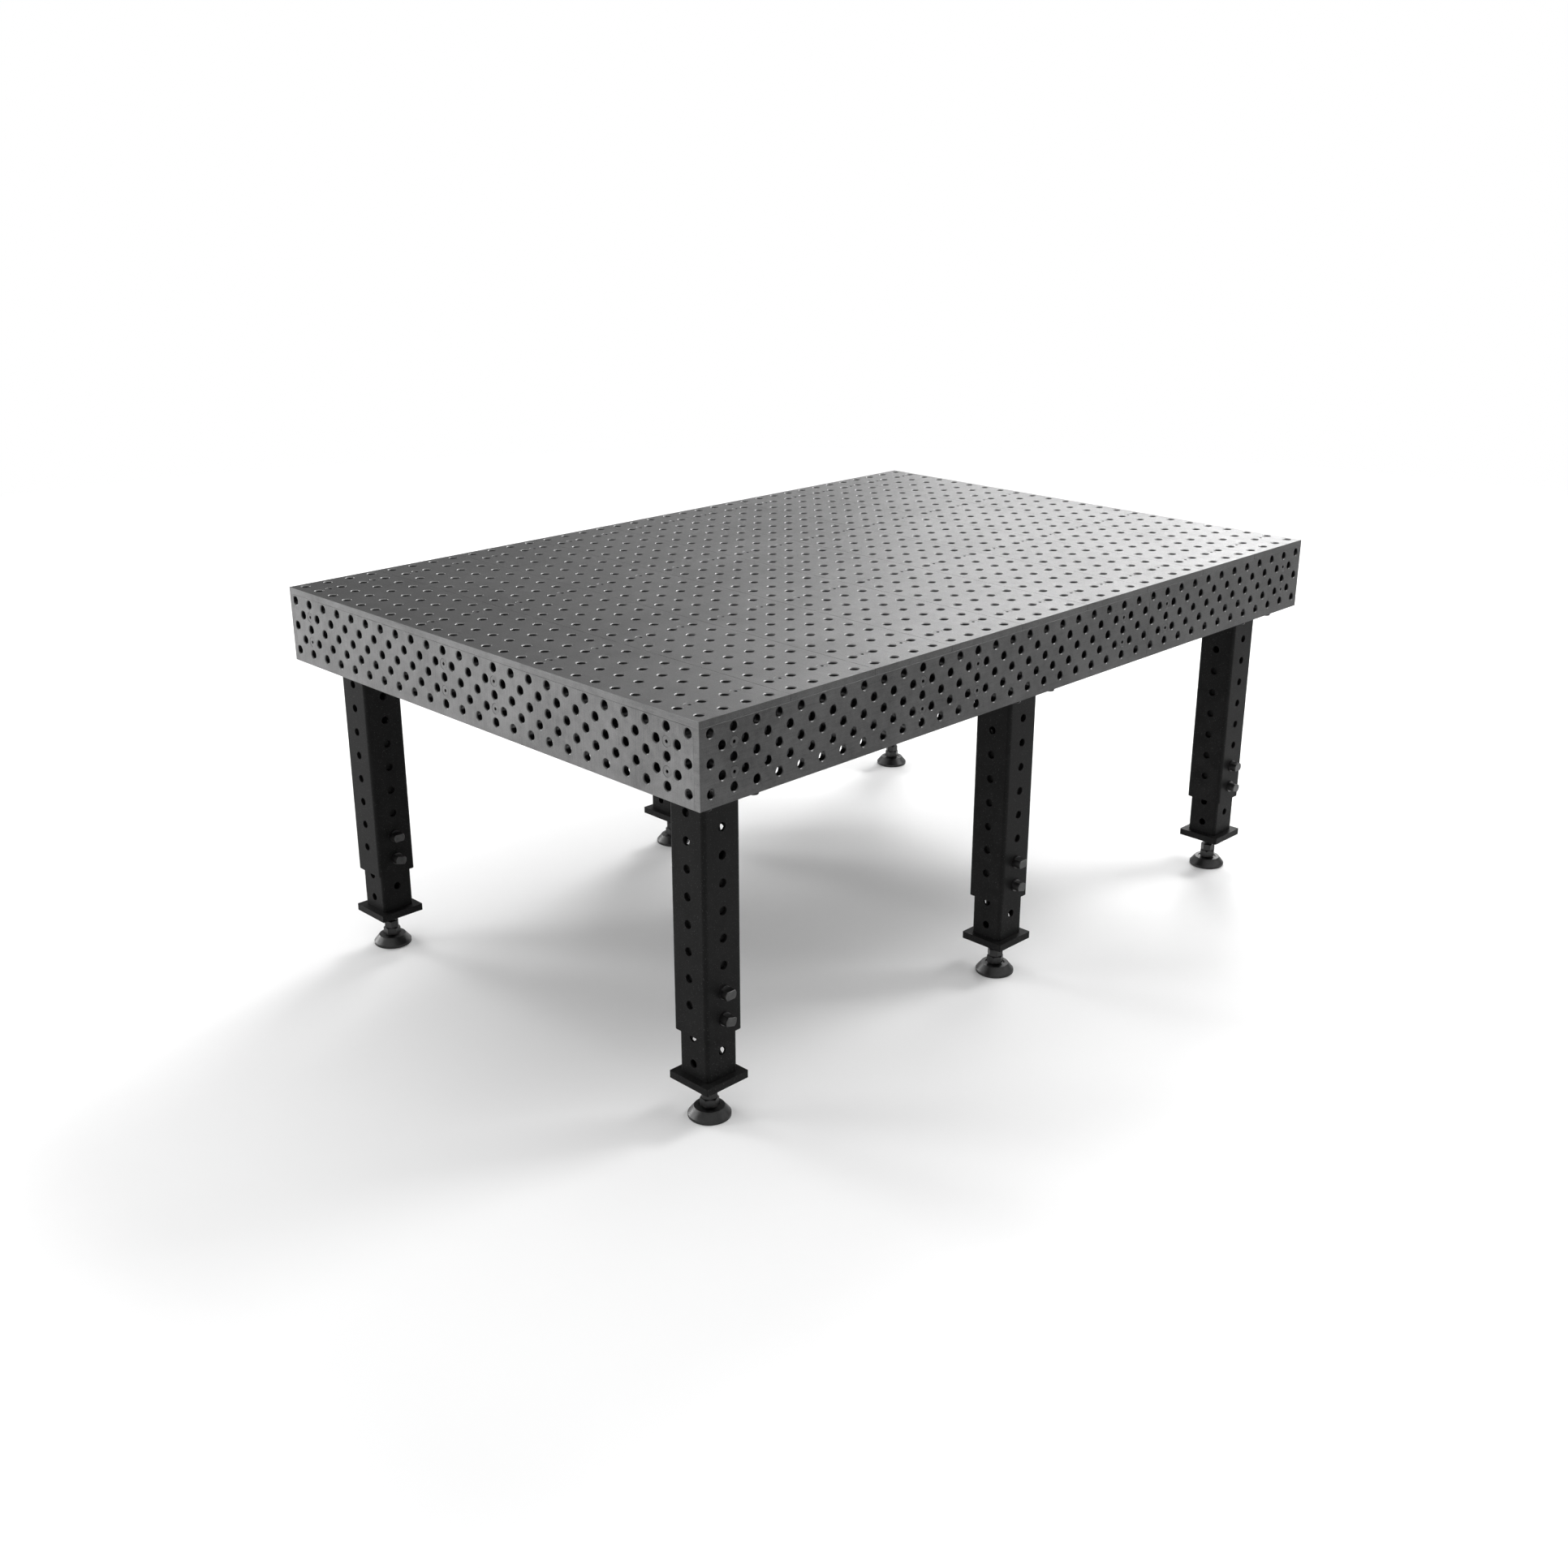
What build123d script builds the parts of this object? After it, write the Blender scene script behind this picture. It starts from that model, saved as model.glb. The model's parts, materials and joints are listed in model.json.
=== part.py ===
from build123d import *
import math
import os

# A perforated welding table on six telescopic legs.
# Frame: millimetres, +Z up, origin on the floor under the middle of the table top,
# +X along the long side, -Y towards the long side that carries the locking screws.

# ---- table top and side plates ----
TABLE_LENGTH = 1794.0
TABLE_WIDTH = 1194.0
TABLE_HEIGHT = 771.0
SKIRT_DEPTH = 148.0          # top face to the bottom edge of the side plates
PLATE_T = 12.0               # top planks and side plates
PLANK_WIDTH = 200.0
PLANK_COUNT = 9
SEAM = 0.6                   # open seam between neighbouring planks and plates
EDGE_BREAK = 0.6             # chamfer along the side plates' upper outer edges
SPLICE_FROM_LEFT = 1212.0    # where the long side plates are joined

# ---- hole system ----
PITCH = 50.0
HOLE_D = 16.0
HOLE_CHAMFER = 1.5
FIRST_HOLE = 25.0            # first hole from the front left corner
SIDE_ROWS = (24.0, 49.0, 74.0, 99.0, 124.0)   # hole rows below the top face
HOLES_ALONG_X = 36
HOLES_ALONG_Y = 24

# ---- countersunk screws (M10) ----
SCREW_D = 10.0
SCREW_HEAD_D = 18.6
SCREW_LENGTH = 29.0
SCREW_SOCKET_AF = 6.0
SCREW_SOCKET_DEPTH = 5.0
SCREW_RECESS = 0.3           # the head lies this far below the plate's face
COUNTERSINK_D = 20.0
TAPPED_GAP = 0.05            # radial gap between a thread's crest and its hole
SCREW_ROWS_Y = (75.0, 425.0, 775.0, 1125.0)
SIDE_SCREWS_X = (75.0, 525.0, 675.0, 1125.0, 1275.0, 1725.0)
SIDE_SCREWS_Y = (75.0, 525.0, 675.0, 1125.0)
SIDE_SCREW_ROWS = (49.0, 99.0)

# ---- rib frame under the top ----
RIB_T = 15.0
CROSS_RIBS_X = SIDE_SCREWS_X
LONG_RIBS_Y = SIDE_SCREWS_Y
RAILS_Y = (425.0, 775.0)     # shallow rails that take the two inner screw rows
RAIL_DEPTH = 60.0
TAPPED_DEPTH = 20.0

# ---- legs ----
LEG_X = 794.5                # outer legs from the middle of the table
LEG_Y = 494.8
TUBE_SIZE = 83.0
TUBE_WALL = 5.0
TUBE_CORNER = 7.5
TUBE_LENGTH = 440.0
FLANGE_T = 12.0
FLANGE_X = 135.0
FLANGE_Y = 150.0
FLANGE_BOLT_X = 52.5         # bolt places from the leg's axis
FLANGE_BOLT_Y = 61.5
FLANGE_BOLT_D = 12.0
FLANGE_BOLT_LENGTH = 22.0
FLANGE_HEAD_D = 18.0
FLANGE_HEAD_H = 8.5
FLANGE_SOCKET_AF = 10.0
PAD_X = 140.0                # tapped plates welded into the rib frame above the flanges
PAD_REACH = 76.0             # from the leg's axis towards the middle of the table
FIRST_TUBE_HOLE_X = 32.0     # from the tube's top, holes along X
FIRST_TUBE_HOLE_Y = 57.0     # the holes along Y lie half a pitch lower
TUBE_HOLES_X = 8
TUBE_HOLES_Y = 8
WELD = 4.0

INNER_SIZE = 70.0
INNER_WALL = 4.0
INNER_CORNER = 6.5
INNER_LENGTH = 400.0
BASE_SIZE = 96.5
BASE_T = 14.0
BASE_TOP = 88.0              # height of the base plate's top face
FIRST_INNER_HOLE_X = 26.5    # from the base plate's top face
FIRST_INNER_HOLE_Y = 51.5
INNER_HOLES = 7

# ---- locking screws (M16 with two flats) ----
LOCK_D = 16.0
LOCK_COLLAR_D = 25.0
LOCK_COLLAR_T = 3.0
LOCK_HEAD_D = 24.0
LOCK_FLATS = 16.0
LOCK_REACH = 18.2            # how far the head stands out of the tube
LOCK_GAP = 0.3
LOCK_TURN = {"upper": 0.0, "lower": -15.0}    # how far each head is turned

# ---- levelling feet ----
STEM_D = 18.0
THREAD_PITCH = 2.5
THREAD_DEPTH = 1.2
STEM_TOP = 141.0
STEM_HEX_AF = 30.0
STEM_HEX_BOTTOM = 20.9
STEM_HEX_TOP = 36.0
STEM_HEX_TURN = 26.0
NECK_D = 11.0
BALL_D = 16.0
BALL_HEIGHT = 10.5
RUNNING_GAP = 0.1
BALL_GAP = 0.3
NUT_AF = 27.0
NUT_T = 14.7
NUT_LIFT = 0.3
NUT_TURN = 54.0
DISC_D = 77.0
DISC_RIM = 6.0
DISC_FLAT_D = 55.0
DISC_TOP = 19.7
POCKET_D = 40.0
POCKET_FLOOR = 18.0
SOCKET_MOUTH_D = 13.8
HEX_BEVEL_ANGLE = 30.0
HEX_BEVEL_SHARE = 0.13       # share of the hexagon's corner radius that is bevelled

# ---- places worked out from the dimensions above ----
LEFT = -TABLE_LENGTH / 2
FRONT = -TABLE_WIDTH / 2
PLATE_TOP = TABLE_HEIGHT - PLATE_T
SKIRT_BOTTOM = TABLE_HEIGHT - SKIRT_DEPTH
RIB_H = PLATE_TOP - SKIRT_BOTTOM
TUBE_TOP = SKIRT_BOTTOM - FLANGE_T
TUBE_BOTTOM = TUBE_TOP - TUBE_LENGTH
SCREW_STATIONS_X = [50.0 + 100.0 * k for k in range(2 * PLANK_COUNT)]
GRID_X = [FIRST_HOLE + PITCH * k for k in range(HOLES_ALONG_X)]
GRID_Y = [FIRST_HOLE + PITCH * k for k in range(HOLES_ALONG_Y)]
LEG_PLACES = {
    "front_left": (-LEG_X, -LEG_Y),
    "front_middle": (0.0, -LEG_Y),
    "front_right": (LEG_X, -LEG_Y),
    "rear_left": (-LEG_X, LEG_Y),
    "rear_middle": (0.0, LEG_Y),
    "rear_right": (LEG_X, LEG_Y),
}

os.makedirs("parts", exist_ok=True)


def save(part, name):
    """Label a finished piece and write it as its own node."""
    part.label = name
    export_step(part, f"parts/{name}.step")


def at_x(distance):
    """X of a place given from the table's left edge."""
    return LEFT + distance


def at_y(distance):
    """Y of a place given from the table's front edge."""
    return FRONT + distance


def side_plane(x, y, normal):
    """Upright plane through (x, y) that faces along normal, with its own Y pointing up."""
    across = Vector(0, 0, 1).cross(normal)
    return Plane(origin=(x, y, 0), x_dir=across, z_dir=normal)


# ------------------------------------------------------------------ table top
def plank(number):
    """One transverse plank with its part of the hole grid and its countersunk screw holes."""
    start = PLANK_WIDTH * number
    end = min(start + PLANK_WIDTH, TABLE_LENGTH)
    left_gap = SEAM / 2 if number > 0 else 0.0
    right_gap = SEAM / 2 if end < TABLE_LENGTH else 0.0
    width = end - start - left_gap - right_gap
    middle = at_x(start + left_gap + width / 2)
    holes = [(at_x(x), at_y(y)) for x in GRID_X if start < x < end for y in GRID_Y]
    screws = [(at_x(x), at_y(y), TABLE_HEIGHT)
              for x in SCREW_STATIONS_X if start < x < end for y in SCREW_ROWS_Y]
    with BuildPart() as body:
        with BuildSketch(Plane.XY.offset(PLATE_TOP)):
            with Locations((middle, 0)):
                Rectangle(width, TABLE_WIDTH)
            with Locations(*holes):
                Circle(HOLE_D / 2, mode=Mode.SUBTRACT)
        extrude(amount=PLATE_T)
        rims = body.faces().sort_by(Axis.Z)[-1].edges().filter_by(GeomType.CIRCLE)
        chamfer(rims, HOLE_CHAMFER)
        with Locations(*screws):
            CounterSinkHole(SCREW_D / 2 + 0.5, COUNTERSINK_D / 2, PLATE_T, 90)
    save(body.part, f"top_plank_{number + 1}")


for plank_number in range(PLANK_COUNT):
    plank(plank_number)


# ---------------------------------------------------------------- side plates
def side_plate(name, plane, span, odd_holes, screw_places):
    """
    One upright side plate. plane faces outwards; span and the places are measured along it.
    Rows one, three and five share the top's columns, rows two and four lie half a pitch on.
    """
    low, high = span
    even_holes = [place + PITCH / 2 for place in odd_holes[:-1]]
    holes = []
    for row, depth in enumerate(SIDE_ROWS):
        columns = odd_holes if row % 2 == 0 else even_holes
        holes += [(c, TABLE_HEIGHT - depth) for c in columns if low < c < high]
    screws = [(c, TABLE_HEIGHT - depth)
              for c in screw_places if low < c < high for depth in SIDE_SCREW_ROWS]
    with BuildPart() as body:
        with BuildSketch(plane):
            with Locations(((low + high) / 2, SKIRT_BOTTOM + RIB_H / 2)):
                Rectangle(high - low, RIB_H)
            with Locations(*holes):
                Circle(HOLE_D / 2, mode=Mode.SUBTRACT)
        extrude(amount=-PLATE_T)
        outward = Axis(plane.origin, plane.z_dir)
        face = body.faces().sort_by(outward)[-1]
        chamfer(face.edges().filter_by(GeomType.CIRCLE), HOLE_CHAMFER)
        chamfer(body.faces().sort_by(outward)[-1].edges().sort_by(Axis.Z)[-1], EDGE_BREAK)
        with Locations(plane):
            with Locations(*screws):
                CounterSinkHole(SCREW_D / 2 + 0.5, COUNTERSINK_D / 2, PLATE_T, 90)
    save(body.part, name)


front_plane = side_plane(0, FRONT, Vector(0, -1, 0))
rear_plane = side_plane(0, -FRONT, Vector(0, 1, 0))
left_plane = side_plane(LEFT, 0, Vector(-1, 0, 0))
right_plane = side_plane(-LEFT, 0, Vector(1, 0, 0))

splice = at_x(SPLICE_FROM_LEFT)
columns_x = [at_x(x) for x in GRID_X]
columns_y = [at_y(y) for y in GRID_Y]
screws_x = [at_x(x) for x in SIDE_SCREWS_X]
screws_y = [at_y(y) for y in SIDE_SCREWS_Y]
inner_width = TABLE_WIDTH / 2 - PLATE_T - SEAM / 2


def mirrored(places):
    """The same places seen from the opposite side, in rising order."""
    return [-place for place in reversed(places)]


side_plate("front_plate_left", front_plane, (LEFT, splice - SEAM / 2), columns_x, screws_x)
side_plate("front_plate_right", front_plane, (splice + SEAM / 2, -LEFT), columns_x, screws_x)
side_plate("rear_plate_left", rear_plane, (-splice + SEAM / 2, -LEFT),
           mirrored(columns_x), mirrored(screws_x))
side_plate("rear_plate_right", rear_plane, (LEFT, -splice - SEAM / 2),
           mirrored(columns_x), mirrored(screws_x))
side_plate("end_plate_left", left_plane, (-inner_width, inner_width),
           mirrored(columns_y), mirrored(screws_y))
side_plate("end_plate_right", right_plane, (-inner_width, inner_width), columns_y, screws_y)


# ------------------------------------------------------------------ rib frame
TAP_R = SCREW_D / 2 + TAPPED_GAP
SLOT = RIB_H / 2


def cross_rib(x):
    """A rib along Y, slotted from above for the long ribs and the rails."""
    half = TABLE_WIDTH / 2 - PLATE_T
    ends = [(side * half, TABLE_HEIGHT - row, side) for side in (-1, 1) for row in SIDE_SCREW_ROWS]
    near_leg = abs(abs(x) - LEG_X) < PAD_X / 2 + RIB_T / 2
    with BuildPart() as rib:
        with BuildSketch(Plane.YZ.offset(x - RIB_T / 2)):
            with Locations((0, SKIRT_BOTTOM + RIB_H / 2)):
                Rectangle(2 * half, RIB_H)
            with Locations(*[(at_y(y), PLATE_TOP) for y in LONG_RIBS_Y]):
                Rectangle(RIB_T, 2 * SLOT, mode=Mode.SUBTRACT)
            with Locations(*[(at_y(y), PLATE_TOP) for y in RAILS_Y]):
                Rectangle(RIB_T, 2 * RAIL_DEPTH, mode=Mode.SUBTRACT)
            if near_leg:
                pad_edge = LEG_Y - PAD_REACH
                with Locations(*[(side * (half + pad_edge) / 2, SKIRT_BOTTOM) for side in (-1, 1)]):
                    Rectangle(half - pad_edge, 2 * PLATE_T, mode=Mode.SUBTRACT)
        extrude(amount=RIB_T)
        for y, z, side in ends:
            with Locations(Location((x, y, z), (-90 * side, 0, 0))):
                Hole(TAP_R, depth=TAPPED_DEPTH)
    return rib.part


def long_rib(y):
    """A rib along X, slotted from below for the cross ribs and tapped for the top's screws."""
    half = TABLE_LENGTH / 2 - PLATE_T
    ends = [(side * half, TABLE_HEIGHT - row, side) for side in (-1, 1) for row in SIDE_SCREW_ROWS]
    near_leg = abs(abs(y) - LEG_Y) < PAD_REACH
    with BuildPart() as rib:
        with BuildSketch(Plane.XZ.offset(-y - RIB_T / 2)):
            with Locations((0, SKIRT_BOTTOM + RIB_H / 2)):
                Rectangle(2 * half, RIB_H)
            with Locations(*[(at_x(x), SKIRT_BOTTOM) for x in CROSS_RIBS_X]):
                Rectangle(RIB_T, 2 * SLOT, mode=Mode.SUBTRACT)
            if near_leg:
                with Locations(*[(side * LEG_X, SKIRT_BOTTOM) for side in (-1, 0, 1)]):
                    Rectangle(PAD_X, 2 * PLATE_T, mode=Mode.SUBTRACT)
        extrude(amount=RIB_T)
        if near_leg:
            with Locations(*[(at_x(x), y, PLATE_TOP) for x in SCREW_STATIONS_X]):
                Hole(TAP_R, depth=TAPPED_DEPTH)
        for x, z, side in ends:
            with Locations(Location((x, y, z), (0, 90 * side, 0))):
                Hole(TAP_R, depth=TAPPED_DEPTH)
    return rib.part


def rail(y):
    """A shallow bar along X under an inner row of the top's screws."""
    with BuildPart() as bar:
        with BuildSketch(Plane.XY.offset(PLATE_TOP)):
            with Locations((0, y)):
                Rectangle(TABLE_LENGTH - 2 * PLATE_T, RIB_T)
        extrude(amount=-RAIL_DEPTH)
        with Locations(*[(at_x(x), y, PLATE_TOP) for x in SCREW_STATIONS_X]):
            Hole(TAP_R, depth=TAPPED_DEPTH)
    return bar.part


def leg_pad(x, y):
    """The tapped plate above one leg, from the side plate inwards."""
    side = math.copysign(1, y)
    outer = side * (TABLE_WIDTH / 2 - PLATE_T)
    inner = side * (LEG_Y - PAD_REACH)
    with BuildPart() as pad:
        with BuildSketch(Plane.XY.offset(SKIRT_BOTTOM)):
            with Locations((x, (outer + inner) / 2)):
                Rectangle(PAD_X, abs(outer - inner))
            with Locations((x, y)):
                with GridLocations(2 * FLANGE_BOLT_X, 2 * FLANGE_BOLT_Y, 2, 2):
                    Circle(FLANGE_BOLT_D / 2 + TAPPED_GAP, mode=Mode.SUBTRACT)
        extrude(amount=PLATE_T)
    return pad.part


frame_pieces = [cross_rib(at_x(x)) for x in CROSS_RIBS_X]
frame_pieces += [long_rib(at_y(y)) for y in LONG_RIBS_Y]
frame_pieces += [rail(at_y(y)) for y in RAILS_Y]
frame_pieces += [leg_pad(x, y) for x, y in LEG_PLACES.values()]
save(Compound(children=frame_pieces), "rib_frame")


# --------------------------------------------------------------------- screws
def countersunk_screw():
    """An M10 countersunk screw, head up, its head's top face at the origin."""
    head_r = SCREW_HEAD_D / 2
    cone_h = head_r - SCREW_D / 2
    with BuildPart() as screw:
        with BuildSketch(Plane.XZ):
            with BuildLine():
                Polyline((0, 0), (head_r, 0), (head_r, -0.3), (SCREW_D / 2, -cone_h - 0.3),
                         (SCREW_D / 2, -SCREW_LENGTH + 1), (SCREW_D / 2 - 1, -SCREW_LENGTH),
                         (0, -SCREW_LENGTH), close=True)
            make_face()
        revolve(axis=Axis.Z)
        with BuildSketch(Plane.XY):
            RegularPolygon(SCREW_SOCKET_AF / 2, 6, major_radius=False)
        extrude(amount=-SCREW_SOCKET_DEPTH, mode=Mode.SUBTRACT)
    return screw.part


def outward_location(x, y, z, plane):
    """Place on an upright plane, with Z pointing out of the table."""
    return Location(Plane(origin=(x, y, z), x_dir=plane.x_dir, z_dir=plane.z_dir))


csk = countersunk_screw()
screw_spots = [Location((at_x(x), at_y(y), TABLE_HEIGHT - SCREW_RECESS))
               for x in SCREW_STATIONS_X for y in SCREW_ROWS_Y]
for row in SIDE_SCREW_ROWS:
    height = TABLE_HEIGHT - row
    for x in screws_x:
        screw_spots.append(outward_location(x, FRONT + SCREW_RECESS, height, front_plane))
        screw_spots.append(outward_location(x, -FRONT - SCREW_RECESS, height, rear_plane))
    for y in screws_y:
        screw_spots.append(outward_location(LEFT + SCREW_RECESS, y, height, left_plane))
        screw_spots.append(outward_location(-LEFT - SCREW_RECESS, y, height, right_plane))
save(Compound(children=[csk.moved(spot) for spot in screw_spots]), "countersunk_screws")


def flange_bolt():
    """An M12 socket head bolt, head down, its bearing face at the origin."""
    with BuildPart() as bolt:
        with BuildSketch(Plane.XY):
            Circle(FLANGE_HEAD_D / 2)
        extrude(amount=-FLANGE_HEAD_H)
        chamfer(bolt.edges().sort_by(Axis.Z)[0], 1.0)
        with BuildSketch(Plane.XY):
            Circle(FLANGE_BOLT_D / 2)
        extrude(amount=FLANGE_BOLT_LENGTH)
        chamfer(bolt.edges().sort_by(Axis.Z)[-1], 1.0)
        with BuildSketch(Plane.XY.offset(-FLANGE_HEAD_H)):
            RegularPolygon(FLANGE_SOCKET_AF / 2, 6, major_radius=False)
        extrude(amount=FLANGE_HEAD_H / 2, mode=Mode.SUBTRACT)
    return bolt.part


bolt_master = flange_bolt()
bolt_spots = [Location((x + i * FLANGE_BOLT_X, y + j * FLANGE_BOLT_Y, TUBE_TOP))
              for x, y in LEG_PLACES.values() for i in (-1, 1) for j in (-1, 1)]
save(Compound(children=[bolt_master.moved(spot) for spot in bolt_spots]), "flange_bolts")


# ----------------------------------------------------------------------- legs
def leg_tube(x, y):
    """The outer leg tube with its bolting flange, holes through both pairs of walls."""
    holes_x = [(y, TUBE_TOP - FIRST_TUBE_HOLE_X - PITCH * k) for k in range(TUBE_HOLES_X)]
    holes_y = [(x, TUBE_TOP - FIRST_TUBE_HOLE_Y - PITCH * k) for k in range(TUBE_HOLES_Y)]
    clearance_r = FLANGE_BOLT_D / 2 + 0.5
    lock_r = LOCK_D / 2 + RUNNING_GAP
    with BuildPart() as tube:
        with BuildSketch(Plane.XY.offset(TUBE_BOTTOM)):
            with Locations((x, y)):
                RectangleRounded(TUBE_SIZE, TUBE_SIZE, TUBE_CORNER)
        extrude(amount=TUBE_LENGTH)
        with BuildSketch(Plane.XY.offset(TUBE_TOP)):
            with Locations((x, y)):
                RectangleRounded(FLANGE_X, FLANGE_Y, 8)
                with GridLocations(2 * FLANGE_BOLT_X, 2 * FLANGE_BOLT_Y, 2, 2):
                    Circle(clearance_r, mode=Mode.SUBTRACT)
        extrude(amount=FLANGE_T)
        with BuildSketch(Plane.XY.offset(TUBE_TOP)):
            with Locations((x, y)):
                RectangleRounded(TUBE_SIZE + 2 * WELD, TUBE_SIZE + 2 * WELD, TUBE_CORNER + WELD)
        extrude(amount=-WELD, taper=44)
        with BuildSketch(Plane.XY.offset(TUBE_BOTTOM)):
            with Locations((x, y)):
                bore = TUBE_SIZE - 2 * TUBE_WALL
                RectangleRounded(bore, bore, TUBE_CORNER - TUBE_WALL + 1)
        extrude(amount=TUBE_LENGTH, mode=Mode.SUBTRACT)
        with BuildSketch(Plane.YZ.offset(x)):
            with Locations(*holes_x):
                Circle(HOLE_D / 2)
        extrude(amount=TUBE_SIZE, both=True, mode=Mode.SUBTRACT)
        with BuildSketch(Plane.XZ.offset(-y)):
            with Locations(*holes_y):
                Circle(lock_r)
        extrude(amount=TUBE_SIZE, both=True, mode=Mode.SUBTRACT)
    return tube.part


def inner_leg(x, y):
    """The sliding tube welded to its square base plate."""
    holes_x = [(y, BASE_TOP + FIRST_INNER_HOLE_X + PITCH * k) for k in range(INNER_HOLES + 1)]
    holes_y = [(x, BASE_TOP + FIRST_INNER_HOLE_Y + PITCH * k) for k in range(INNER_HOLES)]
    with BuildPart() as inner:
        with BuildSketch(Plane.XY.offset(BASE_TOP)):
            with Locations((x, y)):
                RectangleRounded(INNER_SIZE, INNER_SIZE, INNER_CORNER)
        extrude(amount=INNER_LENGTH)
        with BuildSketch(Plane.XY.offset(BASE_TOP)):
            with Locations((x, y)):
                bore = INNER_SIZE - 2 * INNER_WALL
                RectangleRounded(bore, bore, INNER_CORNER - INNER_WALL + 1)
        extrude(amount=INNER_LENGTH, mode=Mode.SUBTRACT)
        with BuildSketch(Plane.XY.offset(BASE_TOP)):
            with Locations((x, y)):
                RectangleRounded(BASE_SIZE, BASE_SIZE, 1.5)
                Circle(STEM_D / 2 + RUNNING_GAP, mode=Mode.SUBTRACT)
        extrude(amount=-BASE_T)
        with BuildSketch(Plane.YZ.offset(x)):
            with Locations(*holes_x):
                Circle(HOLE_D / 2)
        extrude(amount=TUBE_SIZE, both=True, mode=Mode.SUBTRACT)
        with BuildSketch(Plane.XZ.offset(-y)):
            with Locations(*holes_y):
                Circle(HOLE_D / 2)
        extrude(amount=TUBE_SIZE, both=True, mode=Mode.SUBTRACT)
    return inner.part


def lock_screw(x, y, z, turn):
    """A locking screw in the tube's front wall: round collar, two flats, tip near the inner tube."""
    face = y - TUBE_SIZE / 2
    tip = y - INNER_SIZE / 2 - LOCK_GAP
    seat = face - LOCK_GAP
    tilt = math.radians(turn)
    front = Plane(origin=(x, seat, z), x_dir=(1, 0, 0), z_dir=(0, -1, 0))
    turned = Plane(origin=front.origin, x_dir=(math.cos(tilt), 0, math.sin(tilt)), z_dir=front.z_dir)
    with BuildPart() as screw:
        with BuildSketch(front):
            Circle(LOCK_COLLAR_D / 2)
        extrude(amount=LOCK_COLLAR_T)
        with BuildSketch(turned.offset(LOCK_COLLAR_T)):
            Circle(LOCK_HEAD_D / 2)
            Rectangle(LOCK_COLLAR_D, LOCK_FLATS, mode=Mode.INTERSECT)
        extrude(amount=LOCK_REACH - LOCK_GAP - LOCK_COLLAR_T)
        chamfer(screw.faces().sort_by(Axis.Y)[0].edges(), 0.7)
        with BuildSketch(front):
            Circle(LOCK_D / 2)
        extrude(amount=seat - tip)
        chamfer(screw.faces().sort_by(Axis.Y)[-1].edges(), 1.0)
    return screw.part


def thread_outline(radius, low, high):
    """Points of a thread-like saw edge between two heights, from the bottom up."""
    turns = int((high - low) / THREAD_PITCH)
    root = radius - THREAD_DEPTH
    points = []
    for turn in range(turns):
        base = low + turn * THREAD_PITCH
        points += [(root, base + 0.2), (radius, base + 1.1), (radius, base + 1.5)]
    return points + [(root, low + turns * THREAD_PITCH)]


def hex_bevel(x, y, radius, top, bottom):
    """Rings that bevel the corners of an upright hexagonal prism at both end faces."""
    drop = radius * HEX_BEVEL_SHARE * math.tan(math.radians(HEX_BEVEL_ANGLE))
    inner_r = radius * (1 - HEX_BEVEL_SHARE)
    outer_r = radius * (1 + HEX_BEVEL_SHARE)
    with BuildPart() as rings:
        for height, inwards in ((top, -1), (bottom, 1)):
            with BuildSketch(Plane.XZ.offset(-y)):
                with BuildLine():
                    Polyline((x + inner_r, height), (x + outer_r, height),
                             (x + outer_r, height + 2 * inwards * drop), close=True)
                make_face()
            revolve(axis=Axis((x, y, 0), (0, 0, 1)))
    return rings.part


def foot_stem(x, y):
    """The levelling screw: ball, neck, wrench hexagon and threaded stem."""
    upright = Axis((x, y, 0), (0, 0, 1))
    hex_r = STEM_HEX_AF / math.sqrt(3)
    thread = thread_outline(STEM_D / 2, STEM_HEX_TOP + 1.0, STEM_TOP)
    thread_base = (STEM_D / 2 - THREAD_DEPTH, STEM_HEX_TOP)
    outline = [(0, STEM_HEX_TOP), thread_base] + thread + [(0, thread[-1][1])]
    bevel = hex_bevel(x, y, hex_r, STEM_HEX_TOP, STEM_HEX_BOTTOM)
    with BuildPart() as stem:
        with BuildSketch(Plane.XY.offset(STEM_HEX_BOTTOM)):
            with Locations((x, y)):
                RegularPolygon(STEM_HEX_AF / 2, 6, major_radius=False, rotation=STEM_HEX_TURN)
        extrude(amount=STEM_HEX_TOP - STEM_HEX_BOTTOM)
        add(bevel, mode=Mode.SUBTRACT)
        with BuildSketch(Plane.XZ.offset(-y)):
            with BuildLine():
                Polyline(*[(x + r, z) for r, z in outline], close=True)
            make_face()
        revolve(axis=upright)
        with BuildSketch(Plane.XY.offset(BALL_HEIGHT)):
            with Locations((x, y)):
                Circle(NECK_D / 2)
        extrude(amount=STEM_HEX_BOTTOM - BALL_HEIGHT)
        with Locations((x, y, BALL_HEIGHT)):
            Sphere(BALL_D / 2)
    return stem.part


def jam_nut(x, y):
    """The nut that locks the stem against the base plate; here it lies on the stem's hexagon."""
    low = STEM_HEX_TOP + NUT_LIFT
    bevel = hex_bevel(x, y, NUT_AF / math.sqrt(3), low + NUT_T, low)
    with BuildPart() as nut:
        with BuildSketch(Plane.XY.offset(low)):
            with Locations((x, y)):
                RegularPolygon(NUT_AF / 2, 6, major_radius=False, rotation=NUT_TURN)
                Circle(STEM_D / 2 + RUNNING_GAP, mode=Mode.SUBTRACT)
        extrude(amount=NUT_T)
        add(bevel, mode=Mode.SUBTRACT)
    return nut.part


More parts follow.
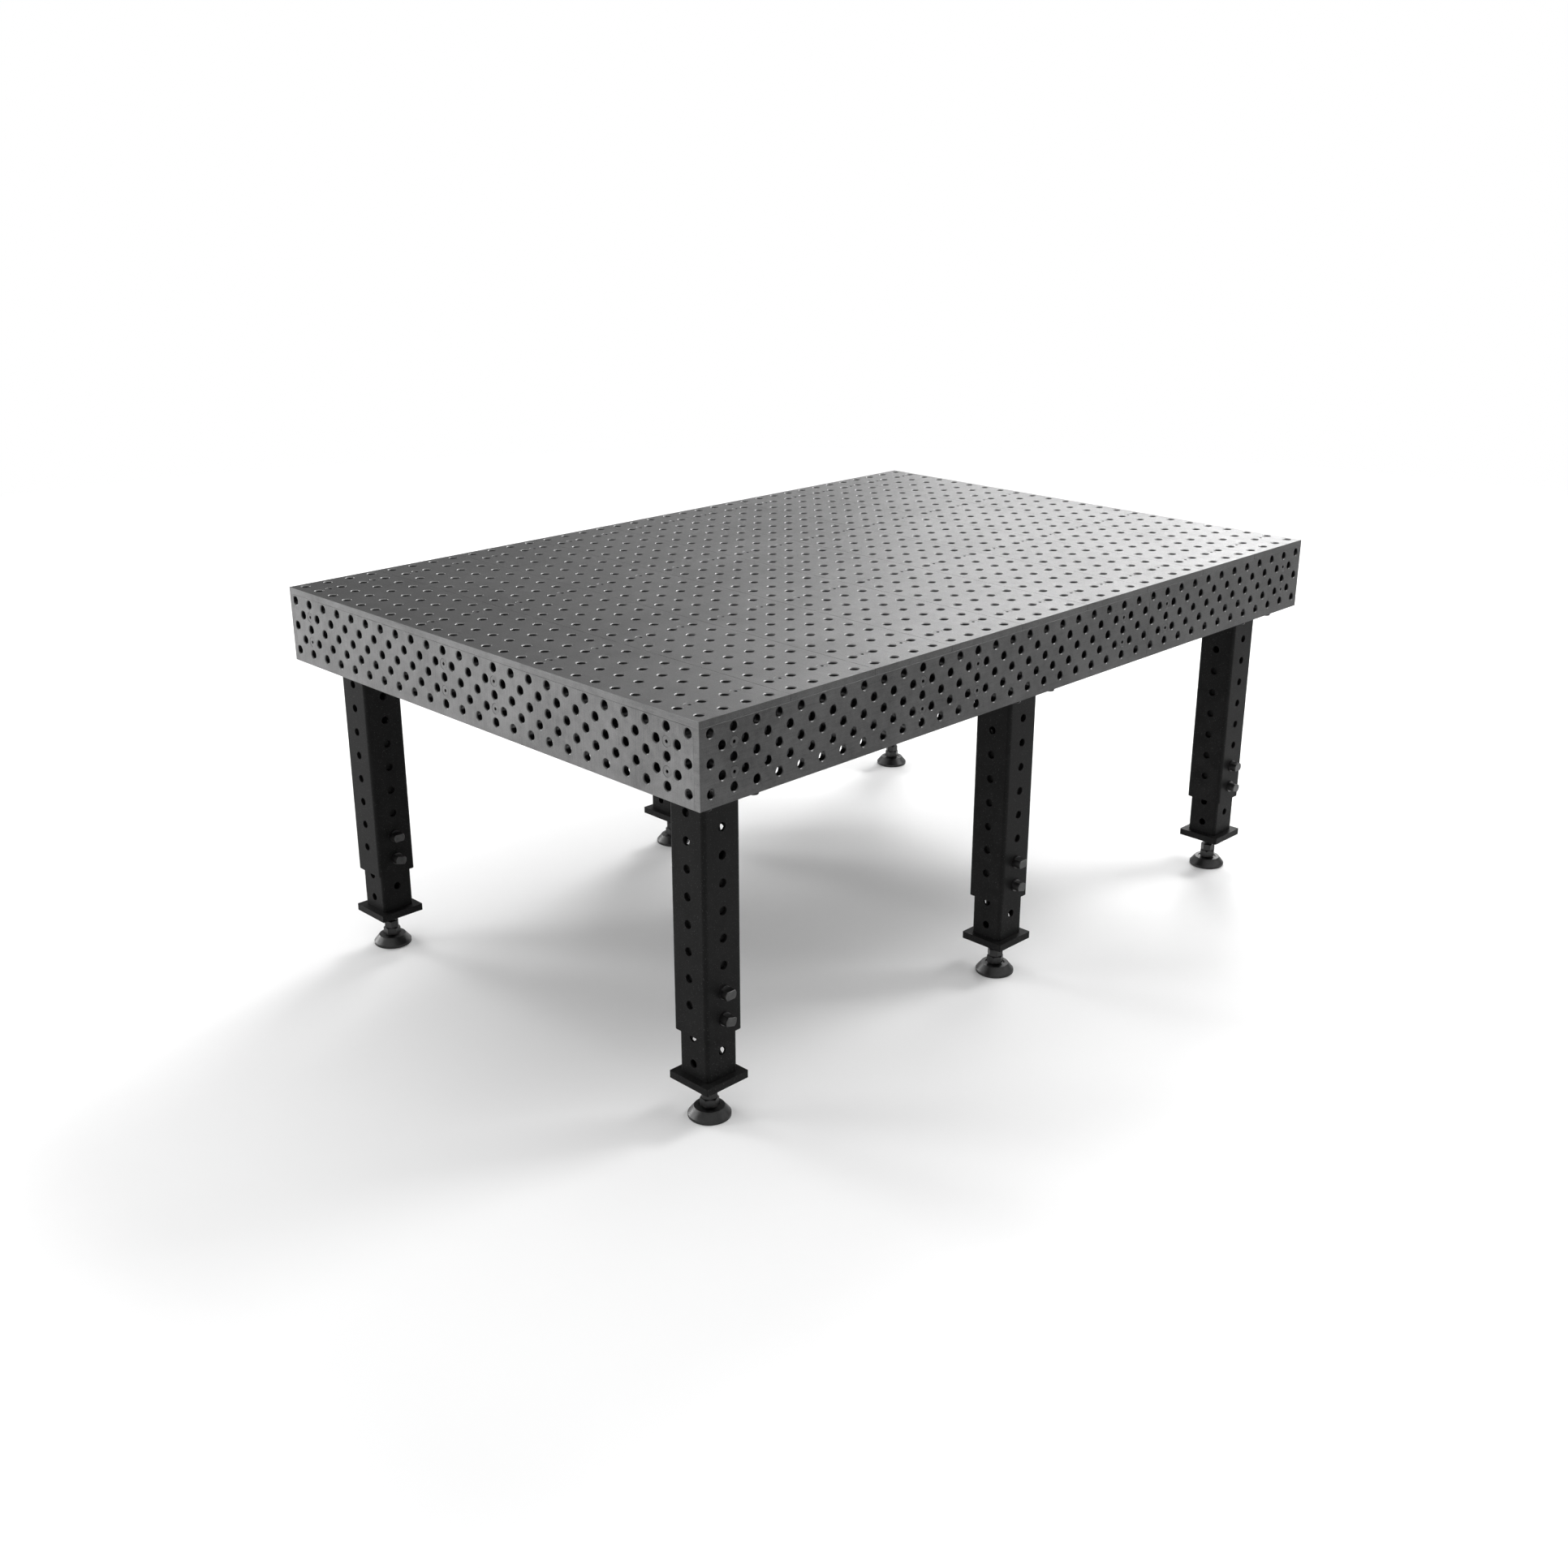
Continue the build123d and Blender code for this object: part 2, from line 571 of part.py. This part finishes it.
def foot_disc(x, y):
    """The turned foot plate with its ball socket."""
    upright = Axis((x, y, 0), (0, 0, 1))
    rim_r = DISC_D / 2
    flat_r = DISC_FLAT_D / 2
    pocket_r = POCKET_D / 2
    mouth_r = SOCKET_MOUTH_D / 2
    socket_r = BALL_D / 2 + BALL_GAP
    outline = [(0, 0), (rim_r - 1, 0), (rim_r, 1), (rim_r, DISC_RIM), (flat_r, DISC_TOP),
               (pocket_r, DISC_TOP), (pocket_r, POCKET_FLOOR), (0, POCKET_FLOOR)]
    with BuildPart() as disc:
        with BuildSketch(Plane.XZ.offset(-y)):
            with BuildLine():
                Polyline(*[(x + r, z) for r, z in outline], close=True)
            make_face()
        revolve(axis=upright)
        with Locations((x, y, BALL_HEIGHT)):
            Sphere(socket_r, mode=Mode.SUBTRACT)
        with BuildSketch(Plane.XY.offset(BALL_HEIGHT)):
            with Locations((x, y)):
                Circle(mouth_r)
        extrude(amount=DISC_TOP, mode=Mode.SUBTRACT)
    return disc.part


LOCK_HEIGHTS = {
    "upper": TUBE_TOP - FIRST_TUBE_HOLE_Y - PITCH * (TUBE_HOLES_Y - 2),
    "lower": TUBE_TOP - FIRST_TUBE_HOLE_Y - PITCH * (TUBE_HOLES_Y - 1),
}

for leg, (leg_x, leg_y) in LEG_PLACES.items():
    save(leg_tube(leg_x, leg_y), f"leg_tube_{leg}")
    save(inner_leg(leg_x, leg_y), f"inner_leg_{leg}")
    for level, lock_z in LOCK_HEIGHTS.items():
        save(lock_screw(leg_x, leg_y, lock_z, LOCK_TURN[level]), f"{level}_lock_screw_{leg}")
    save(foot_stem(leg_x, leg_y), f"foot_stem_{leg}")
    save(jam_nut(leg_x, leg_y), f"jam_nut_{leg}")
    save(foot_disc(leg_x, leg_y), f"foot_disc_{leg}")
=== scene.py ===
"""Looks of a perforated welding table on six telescopic legs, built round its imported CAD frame."""

import json
import math

import bpy
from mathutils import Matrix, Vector


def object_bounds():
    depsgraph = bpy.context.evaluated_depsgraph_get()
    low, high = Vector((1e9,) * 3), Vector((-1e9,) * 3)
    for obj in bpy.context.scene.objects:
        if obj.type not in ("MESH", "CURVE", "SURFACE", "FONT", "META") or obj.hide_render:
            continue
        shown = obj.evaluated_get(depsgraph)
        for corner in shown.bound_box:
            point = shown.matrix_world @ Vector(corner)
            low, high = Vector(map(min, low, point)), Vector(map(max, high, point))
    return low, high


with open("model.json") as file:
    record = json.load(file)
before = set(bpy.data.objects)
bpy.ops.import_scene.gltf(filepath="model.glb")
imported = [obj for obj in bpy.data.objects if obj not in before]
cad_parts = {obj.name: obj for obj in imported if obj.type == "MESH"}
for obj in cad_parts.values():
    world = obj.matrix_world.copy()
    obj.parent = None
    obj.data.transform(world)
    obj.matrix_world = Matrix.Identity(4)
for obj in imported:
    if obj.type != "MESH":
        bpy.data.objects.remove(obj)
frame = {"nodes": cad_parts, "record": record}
cad_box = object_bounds()

SLOT_OF = {part["node"]: part["material_slot"] for part in frame["record"]["subparts"]}


# ---------------------------------------------------------------- node helpers
class Shader:
    """One material's node tree, with short calls for the nodes that these looks are made of."""

    def __init__(self, name):
        self.material = bpy.data.materials.new(name)
        self.material.use_nodes = True
        self.tree = self.material.node_tree
        self.surface = self.tree.nodes["Principled BSDF"]
        self.place = self.node("ShaderNodeTexCoord").outputs["Object"]

    def node(self, kind, **settings):
        made = self.tree.nodes.new(kind)
        for name, value in settings.items():
            setattr(made, name, value)
        return made

    def put(self, socket, value):
        """Links another node's output to a socket, or sets a plain value on it."""
        if isinstance(value, bpy.types.NodeSocket):
            self.tree.links.new(value, socket)
        else:
            socket.default_value = value

    def surface_set(self, **values):
        for name, value in values.items():
            self.put(self.surface.inputs[name.replace("_", " ")], value)

    def maths(self, operation, a, b=0.0, c=0.0):
        made = self.node("ShaderNodeMath", operation=operation)
        for socket, value in zip(made.inputs, (a, b, c)):
            self.put(socket, value)
        return made.outputs[0]

    def stretched(self, scale):
        """The piece's own coordinates, scaled by a different number along each axis."""
        made = self.node("ShaderNodeVectorMath", operation="MULTIPLY")
        self.put(made.inputs[0], self.place)
        self.put(made.inputs[1], scale)
        return made.outputs[0]

    def noise(self, scale, detail=3.0, roughness=0.55, stretch=None, distortion=0.0):
        made = self.node("ShaderNodeTexNoise")
        self.put(made.inputs["Vector"], self.stretched(stretch) if stretch else self.place)
        for name, value in (("Scale", scale), ("Detail", detail), ("Roughness", roughness),
                            ("Distortion", distortion)):
            self.put(made.inputs[name], value)
        return made.outputs["Fac"]

    def between(self, value, low, high, to_low=0.0, to_high=1.0):
        """The value's range from low to high laid onto another, and held at its ends."""
        made = self.node("ShaderNodeMapRange")
        for name, given in (("Value", value), ("From Min", low), ("From Max", high),
                            ("To Min", to_low), ("To Max", to_high)):
            self.put(made.inputs[name], given)
        return made.outputs["Result"]

    def mixed(self, factor, a, b):
        """Colour b over colour a by the factor."""
        made = self.node("ShaderNodeMix", data_type="RGBA", blend_type="MIX")
        self.put(made.inputs["Factor"], factor)
        for socket, value in ((made.inputs[6], a), (made.inputs[7], b)):
            self.put(socket, value if isinstance(value, bpy.types.NodeSocket) else (*value, 1.0))
        return made.outputs[2]

    def bump(self, height, strength, distance, normal=None):
        made = self.node("ShaderNodeBump")
        self.put(made.inputs["Height"], height)
        self.put(made.inputs["Strength"], strength)
        self.put(made.inputs["Distance"], distance)
        if normal is not None:
            self.put(made.inputs["Normal"], normal)
        return made.outputs["Normal"]


def grey(value, warmth=0.0):
    """A neutral colour, a little warmer or cooler."""
    return (value * (1 + warmth), value, value * (1 - warmth))


# ------------------------------------------------------------------- materials
EDGE_DEPTH = 0.0015          # this near the table's box, a face is one of its own outer edges
EDGE_BLEND = 0.0008
EDGE_X = cad_box[1][0] - EDGE_DEPTH
EDGE_Y = cad_box[1][1] - EDGE_DEPTH
END_PAINTED_LIGHT = 2.2               # painted light: the two ends' steel is coloured this much lighter than the long sides', for the light that falls on the ends
AXIS_X, AXIS_Y, AXIS_Z = 0, 1, 2     # the way that a plate's face looks


def past(s, axis, limit, blend):
    """1 where the place lies further out than the limit along an axis, either way, and 0 further in."""
    spot = s.node("ShaderNodeSeparateXYZ")
    s.put(spot.inputs[0], s.place)
    return s.between(s.maths("ABSOLUTE", spot.outputs[axis]), limit, limit + blend)


def hole_walls(s, face_axis, at_end):
    """1 on the walls and chamfers of a plate's holes, 0 on its faces and on the table's outer edges."""
    across = s.node("ShaderNodeSeparateXYZ")
    s.put(across.inputs[0], s.node("ShaderNodeNewGeometry").outputs["Normal"])
    turned_away = s.between(s.maths("ABSOLUTE", across.outputs[face_axis]), 0.75, 0.90, 1.0, 0.0)
    at_side = past(s, AXIS_Y, EDGE_Y, EDGE_BLEND)
    if face_axis == AXIS_X:
        outer_edge = at_side
    elif face_axis == AXIS_Y:
        outer_edge = at_end
    else:
        outer_edge = s.maths("MAXIMUM", at_end, at_side)
    return s.maths("MULTIPLY", turned_away, s.maths("SUBTRACT", 1.0, outer_edge))


def rolled_steel(name, dark, light, rough, grain_stretch, face_axis, cut):
    """Rolled and oiled plate that faces along one axis: clouds, mottle, grain, drawn streaks and scratches.

    Hole walls and chamfers are cut steel, between the two tones of cut. The outer edges that lie in the
    table's ends are painted lighter, as the end plates are, for the light that falls on the ends.
    """
    s = Shader(name)
    clouds = s.noise(7.0, detail=5.0, roughness=0.6, distortion=0.4)
    mottle = s.noise(60.0, detail=4.0, roughness=0.65)
    grain = s.noise(650.0, detail=2.0, roughness=0.7)
    streaks = s.noise(380.0, detail=3.0, roughness=0.6, stretch=grain_stretch)
    tone = s.maths("MULTIPLY_ADD", clouds, 0.40, s.maths("MULTIPLY", mottle, 0.30))
    tone = s.maths("MULTIPLY_ADD", grain, 0.40, tone)
    tone = s.maths("MULTIPLY_ADD", streaks, 0.25, tone)
    tone = s.between(tone, 0.54, 0.81)
    scratches = s.between(s.noise(38.0, detail=6.0, roughness=0.8, stretch=(1.0, 9.0, 3.0)), 0.70, 0.76)
    skin = s.mixed(tone, grey(dark), grey(light))
    skin = s.mixed(s.maths("MULTIPLY", scratches, 0.25), skin, grey(light * 1.5))
    at_end = past(s, AXIS_X, EDGE_X, EDGE_BLEND)
    # painted light: at the table's ends the skin is coloured lighter, as the end plates are
    if face_axis != AXIS_X:
        skin = s.mixed(at_end, skin, s.mixed(tone, grey(dark * END_PAINTED_LIGHT), grey(light * END_PAINTED_LIGHT)))

    walls = hole_walls(s, face_axis, at_end)
    tool_marks = s.noise(160.0, detail=2.0, stretch=(1.0, 1.0, 5.0))
    colour = s.mixed(walls, skin, s.mixed(tool_marks, grey(cut[0]), grey(cut[1])))
    roughness = s.between(s.maths("MULTIPLY_ADD", mottle, 0.5, s.maths("MULTIPLY", streaks, 0.5)),
                          0.35, 0.65, rough - 0.05, rough + 0.06)
    roughness = s.maths("MULTIPLY_ADD", walls, -0.08, roughness)
    s.surface_set(Base_Color=colour, Metallic=1.0, Roughness=roughness)
    fine = s.bump(grain, 0.50, 0.0006)
    s.surface_set(Normal=s.bump(streaks, 0.12, 0.0005, fine))
    return s.material


SCREW_DEPTH = 0.008          # how deep in an end's plate the countersunk heads get its painted light
SCREW_BLEND = 0.001


def turned_steel(name, dark, light, rough, in_plates=False):
    """Machined steel with fine turning rings and a film of oil.

    Where it is for screws in the plates, those in the table's ends get the end plates' painted light.
    """
    s = Shader(name)
    film = s.noise(90.0, detail=4.0)
    rings = s.noise(60.0, detail=2.0, stretch=(4.0, 4.0, 60.0))
    tone = s.between(s.maths("MULTIPLY_ADD", film, 0.7, s.maths("MULTIPLY", rings, 0.3)), 0.30, 0.70)
    colour = s.mixed(tone, grey(dark), grey(light))
    if in_plates:
        # painted light: screw heads in the table's ends are coloured lighter, as the end plates are
        at_end = past(s, AXIS_X, EDGE_X - SCREW_DEPTH, SCREW_BLEND)
        colour = s.mixed(at_end, colour, s.mixed(tone, grey(dark * END_PAINTED_LIGHT), grey(light * END_PAINTED_LIGHT)))
    s.surface_set(Base_Color=colour, Metallic=1.0,
                  Roughness=s.between(film, 0.35, 0.65, rough - 0.05, rough + 0.06),
                  Normal=s.bump(rings, 0.10, 0.0003, s.bump(s.noise(900.0), 0.10, 0.0002)))
    return s.material


def powder_coat(name):
    """Satin black powder coat: fine orange peel, pale dust specks and small scuffs."""
    s = Shader(name)
    peel = s.noise(420.0, detail=2.0, roughness=0.5)
    patches = s.noise(22.0, detail=5.0, roughness=0.65)
    specks = s.between(s.noise(520.0, detail=1.0), 0.66, 0.74)
    scuffs = s.between(s.noise(60.0, detail=6.0, roughness=0.85, stretch=(1.0, 1.0, 0.25)), 0.64, 0.72)
    colour = s.mixed(s.between(patches, 0.35, 0.7), grey(0.0055), grey(0.0105))
    colour = s.mixed(s.maths("MULTIPLY", specks, 0.45), colour, grey(0.09))
    colour = s.mixed(s.maths("MULTIPLY", scuffs, 0.22), colour, grey(0.06))
    roughness = s.between(patches, 0.3, 0.7, 0.42, 0.54)
    s.surface_set(Base_Color=colour, Metallic=0.0, Roughness=roughness, Specular_IOR_Level=0.08,
                  Normal=s.bump(peel, 0.25, 0.0004))
    return s.material


def mill_scale(name):
    """Unfinished rib steel: blue-black scale with lighter, worn patches."""
    s = Shader(name)
    scale = s.noise(28.0, detail=6.0, roughness=0.7, distortion=0.6)
    grain = s.noise(500.0, detail=2.0)
    s.surface_set(Base_Color=s.mixed(s.between(scale, 0.42, 0.66), grey(0.045, -0.06), grey(0.12, -0.02)),
                  Metallic=0.9, Roughness=s.between(scale, 0.35, 0.65, 0.62, 0.42),
                  Normal=s.bump(grain, 0.25, 0.0005))
    return s.material


def black_oxide(name):
    """Black oxide bolt finish with wear that shows the steel."""
    s = Shader(name)
    wear = s.noise(140.0, detail=5.0, roughness=0.7)
    s.surface_set(Base_Color=s.mixed(s.between(wear, 0.56, 0.70), grey(0.02), grey(0.09)), Metallic=0.8,
                  Roughness=s.between(wear, 0.3, 0.7, 0.36, 0.5),
                  Normal=s.bump(s.noise(700.0), 0.12, 0.0002))
    return s.material


LOOKS = {
    "top_steel": rolled_steel("top_steel", 0.055, 0.100, 0.40, (0.6, 0.06, 1.0), AXIS_Z, (0.13, 0.20)),
    "side_steel": rolled_steel("side_steel", 0.048, 0.098, 0.42, (0.06, 0.06, 1.0), AXIS_Y, (0.07, 0.12)),
    "rib_steel": mill_scale("rib_steel"),
    "screw_steel": turned_steel("screw_steel", 0.058, 0.098, 0.40, in_plates=True),
    "bolt_steel": black_oxide("bolt_steel"),
    "leg_paint": powder_coat("leg_paint"),
    "lock_steel": turned_steel("lock_steel", 0.05, 0.10, 0.42),
    "foot_steel": turned_steel("foot_steel", 0.040, 0.066, 0.42),
}
# painted light: the end plates' tones are set lighter than the sides' to stand in for the light that falls
# on the table's ends
END_STEEL_PAINTED_LIGHT = rolled_steel("end_steel_painted_light", 0.120, 0.225, 0.40, (1.0, 1.0, 0.05), AXIS_X, (0.08, 0.13))
for name, piece in frame["nodes"].items():
    look = END_STEEL_PAINTED_LIGHT if name.startswith("end_plate") else LOOKS[SLOT_OF[name]]
    piece.data.materials.clear()
    piece.data.materials.append(look)


# ------------------------------------------------------------------- the stage
def stage_mesh(name, corners, material):
    """A flat sheet between the corners that isn't part of the table."""
    mesh = bpy.data.meshes.new(name)
    mesh.from_pydata(corners, [], [tuple(range(len(corners)))])
    mesh.materials.append(material)
    made = bpy.data.objects.new(name, mesh)
    bpy.context.scene.collection.objects.link(made)


FLOOR_HALF = 60.0
SWEEP_START = 2.6            # from the table's middle, lit floor turns into plain white between these
SWEEP_END = 6.0


def floor_material():
    """Pale studio floor: matt near the table, running out into plain white like a lit sweep."""
    s = Shader("studio_floor")
    dust = s.noise(3.0, detail=4.0)
    s.surface_set(Base_Color=s.mixed(dust, grey(0.87), grey(0.90)), Roughness=0.65, Specular_IOR_Level=0.2)
    distance = s.node("ShaderNodeVectorMath", operation="LENGTH")
    s.put(distance.inputs[0], s.place)
    white = s.node("ShaderNodeEmission")
    both = s.node("ShaderNodeMixShader")
    s.put(both.inputs[0], s.between(distance.outputs["Value"], SWEEP_START, SWEEP_END))
    s.put(both.inputs[1], s.surface.outputs[0])
    s.put(both.inputs[2], white.outputs[0])
    from_above = s.node("ShaderNodeMixShader")        # clear from below, to show the underside
    s.put(from_above.inputs[0], s.node("ShaderNodeNewGeometry").outputs["Backfacing"])
    s.put(from_above.inputs[1], both.outputs[0])
    s.put(from_above.inputs[2], s.node("ShaderNodeBsdfTransparent").outputs[0])
    s.put(s.tree.nodes["Material Output"].inputs["Surface"], from_above.outputs[0])
    return s.material


stage_mesh("studio_floor", [(-FLOOR_HALF, -FLOOR_HALF, 0), (FLOOR_HALF, -FLOOR_HALF, 0),
                            (FLOOR_HALF, FLOOR_HALF, 0), (-FLOOR_HALF, FLOOR_HALF, 0)], floor_material())

ROOM_LIGHT = 0.42            # what the room gives as light
ROOM_WHITE = 1.0             # and what the camera sees of it behind the table

world = bpy.data.worlds.new("studio")
bpy.context.scene.world = world
world.use_nodes = True
room = world.node_tree.nodes["Background"]
room.inputs["Color"].default_value = (1.0, 1.0, 1.0, 1.0)
camera_ray = world.node_tree.nodes.new("ShaderNodeLightPath").outputs["Is Camera Ray"]
room_light = world.node_tree.nodes.new("ShaderNodeMapRange")
room_light.inputs["To Min"].default_value = ROOM_LIGHT
room_light.inputs["To Max"].default_value = ROOM_WHITE
world.node_tree.links.new(camera_ray, room_light.inputs["Value"])
world.node_tree.links.new(room_light.outputs["Result"], room.inputs["Strength"])


AIM_HEIGHT = 0.6             # of the point in the table that lights are turned towards
LAMP_DISTANCE = 7.0
SOFTBOX_SIZE = (2.2, 1.8)
CEILING_SPREAD = 90.0        # degrees
CEILING_STRENGTH = 1.20


def toward(azimuth, elevation):
    """The direction that lies there from the table's middle, with azimuth counted from +X to +Y."""
    a, e = math.radians(azimuth), math.radians(elevation)
    return Vector((math.cos(a) * math.cos(e), math.sin(a) * math.cos(e), math.sin(e)))


def lamp(name, kind, azimuth, elevation):
    """A light in that direction, turned towards the table. The camera doesn't see it."""
    away = toward(azimuth, elevation)
    data = bpy.data.lights.new(name, kind)
    made = bpy.data.objects.new(name, data)
    bpy.context.scene.collection.objects.link(made)
    made.location = Vector((0.0, 0.0, AIM_HEIGHT)) + away * LAMP_DISTANCE
    made.rotation_euler = (-away).to_track_quat("-Z", "Y").to_euler()
    made.visible_camera = False
    return data


def softbox(name, azimuth, elevation, radiance):
    """A rectangular light of even radiance."""
    data = lamp(name, "AREA", azimuth, elevation)
    data.shape = "RECTANGLE"
    data.size, data.size_y = SOFTBOX_SIZE
    data.energy = radiance * math.pi * SOFTBOX_SIZE[0] * SOFTBOX_SIZE[1]


softbox("key_softbox", 30.0, 40.0, 14.5)
softbox("back_softbox", 30.0, 15.0, 3.2)
softbox("far_softbox", 48.0, 20.0, 0.6)
softbox("right_softbox", 15.0, 20.0, 7.6)
softbox("front_softbox", -28.0, 41.0, 15.0)
softbox("left_softbox", 108.0, 9.0, 17.0)
softbox("near_left_softbox", 140.0, 15.0, 10.0)
ceiling = lamp("ceiling", "SUN", 0.0, 90.0)      # even light with no fall-off across the floor
ceiling.angle = math.radians(CEILING_SPREAD)
ceiling.energy = CEILING_STRENGTH

# ------------------------------------------------------------------ the camera
CAMERA_PLACE = (-2.5915, -2.4742, 1.6118)
CAMERA_LOOK = (0.6629, 0.6623, -0.3491)      # the direction of its view
CAMERA_LENS = 40.2           # mm, as is the sensor
CAMERA_SENSOR = 36.0
CAMERA_REACH = 500.0

camera_data = bpy.data.cameras.new("camera")
camera_data.sensor_width = CAMERA_SENSOR
camera_data.lens = CAMERA_LENS
camera_data.clip_end = CAMERA_REACH
camera = bpy.data.objects.new("camera", camera_data)
bpy.context.scene.collection.objects.link(camera)
camera.location = CAMERA_PLACE
camera.rotation_euler = Vector(CAMERA_LOOK).to_track_quat("-Z", "Y").to_euler()
bpy.context.scene.camera = camera
bpy.context.scene.view_settings.view_transform = "Standard"
